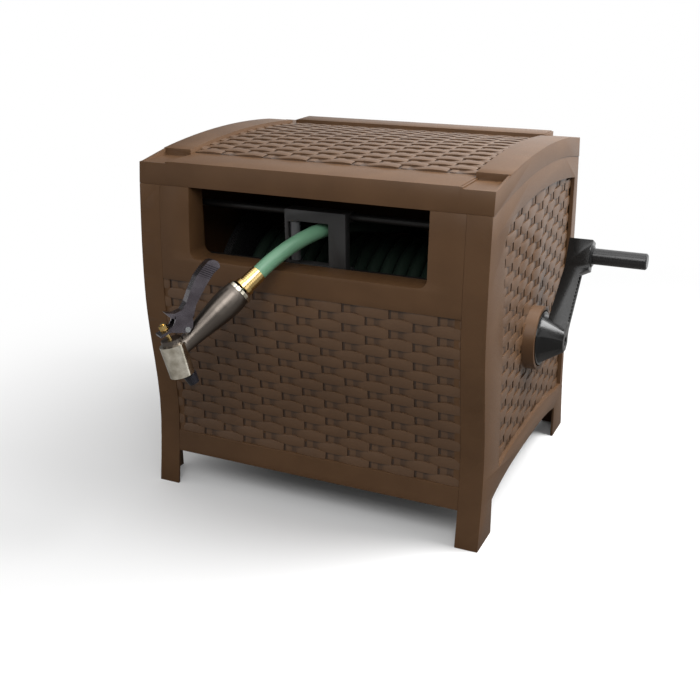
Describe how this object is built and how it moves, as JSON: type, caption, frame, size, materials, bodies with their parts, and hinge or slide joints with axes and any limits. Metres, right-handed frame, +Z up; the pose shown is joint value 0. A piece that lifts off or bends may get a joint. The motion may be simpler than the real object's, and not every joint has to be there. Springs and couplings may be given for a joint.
{
  "type": "garden hose cabinet",
  "caption": "Wicker-look resin cabinet with a hose reel inside: hinged arched lid, side crank, front window with a sliding hose guide, green hose and a metal trigger nozzle.",
  "frame": {"origin": "bottom centre of the cabinet with its crank and inlet, on the floor", "axes": "+X to the crank side, -Y to the front with the window, +Z up"},
  "size_m": [0.759, 0.6742, 0.5627],
  "materials": {
    "brown_resin": "matte",
    "black_resin": "satin",
    "grey_resin": "satin",
    "steel": "satin",
    "rubber": "matte",
    "green_vinyl": "satin",
    "brass": "polished",
    "chrome": "polished",
    "gunmetal": "satin"
  },
  "bodies": {
    "case": {"left_side_panel": "brown_resin", "right_side_panel": "brown_resin", "front_panel": "brown_resin", "rear_panel": "brown_resin", "panel_screws": "steel", "hinge_pins": "steel", "left_bushing": "black_resin", "right_bushing": "black_resin", "upper_guide_rod": "steel", "lower_guide_rod": "steel", "inlet_tube": "black_resin", "inlet_o_rings": "rubber", "inlet_cover": "brown_resin", "cover_screws": "steel"},
    "lid": {"lid": "brown_resin"},
    "reel": {"drum_core": "black_resin", "left_flange": "black_resin", "right_flange": "black_resin", "flange_screws": "steel", "outlet_elbow": "black_resin", "hose_tail_coupling": "brass", "hose_tail": "green_vinyl", "hose_inner_layers": "green_vinyl", "hose_outer_layer": "green_vinyl", "crank_arm": "black_resin", "crank_screw": "steel", "handle_spindle": "grey_resin"},
    "grip": {"handle_grip": "black_resin"},
    "guide": {"guide_carriage": "grey_resin", "guide_roller_pins": "steel", "hose_lead": "green_vinyl", "hose_end": "green_vinyl", "hose_coupling": "brass", "hose_washer": "rubber", "nozzle_body": "gunmetal", "nozzle_collar": "chrome", "nozzle_head": "chrome", "nozzle_tip": "black_resin", "lever_rivet": "chrome"},
    "left_roller": {"left_guide_roller": "steel"},
    "right_roller": {"right_guide_roller": "steel"},
    "lever": {"squeeze_lever": "gunmetal"},
    "stem": {"valve_stem": "brass"},
    "nut": {"adjusting_nut": "brass"}
  },
  "joints": [
    {"name": "lid_hinge", "type": "hinge", "parent": "case", "child": "lid", "pos_m": [0, 0.2468, 0.5105], "axis": [-1, 0, 0], "range_deg": [0, 100]},
    {"name": "reel_spin", "type": "hinge", "parent": "case", "child": "reel", "pos_m": [0, 0.015, 0.254], "axis": [1, 0, 0], "continuous": true},
    {"name": "grip_spin", "type": "hinge", "parent": "reel", "child": "grip", "pos_m": [0.3, 0.07501, 0.3827], "axis": [1, 0, 0], "continuous": true},
    {"name": "guide_slide", "type": "slide", "parent": "case", "child": "guide", "axis": [1, 0, 0], "range_m": [-0.13, 0.14]},
    {"name": "left_roller_spin", "type": "hinge", "parent": "guide", "child": "left_roller", "pos_m": [-0.1005, -0.194, 0.43], "axis": [0, 0, 1], "continuous": true},
    {"name": "right_roller_spin", "type": "hinge", "parent": "guide", "child": "right_roller", "pos_m": [-0.034, -0.1915, 0.43], "axis": [0, 0, 1], "continuous": true},
    {"name": "lever_squeeze", "type": "hinge", "parent": "guide", "child": "lever", "pos_m": [-0.18071, -0.38368, 0.3426], "axis": [-0.7789, 0.6151, -0.1222], "range_deg": [0, 10], "stiffness_Nm_per_rad": 4, "springref_deg": -11.46},
    {"name": "stem_pull", "type": "slide", "parent": "guide", "child": "stem", "axis": [-0.3244, -0.2283, 0.918], "range_m": [0, 0.006]},
    {"name": "nut_turn", "type": "hinge", "parent": "stem", "child": "nut", "pos_m": [-0.19167, -0.40148, 0.32282], "axis": [-0.3244, -0.2283, 0.918], "continuous": true}
  ],
  "couplings": [
    {"joint": "stem_pull", "follows": "lever_squeeze", "m_per_rad": 0.0335}
  ]
}
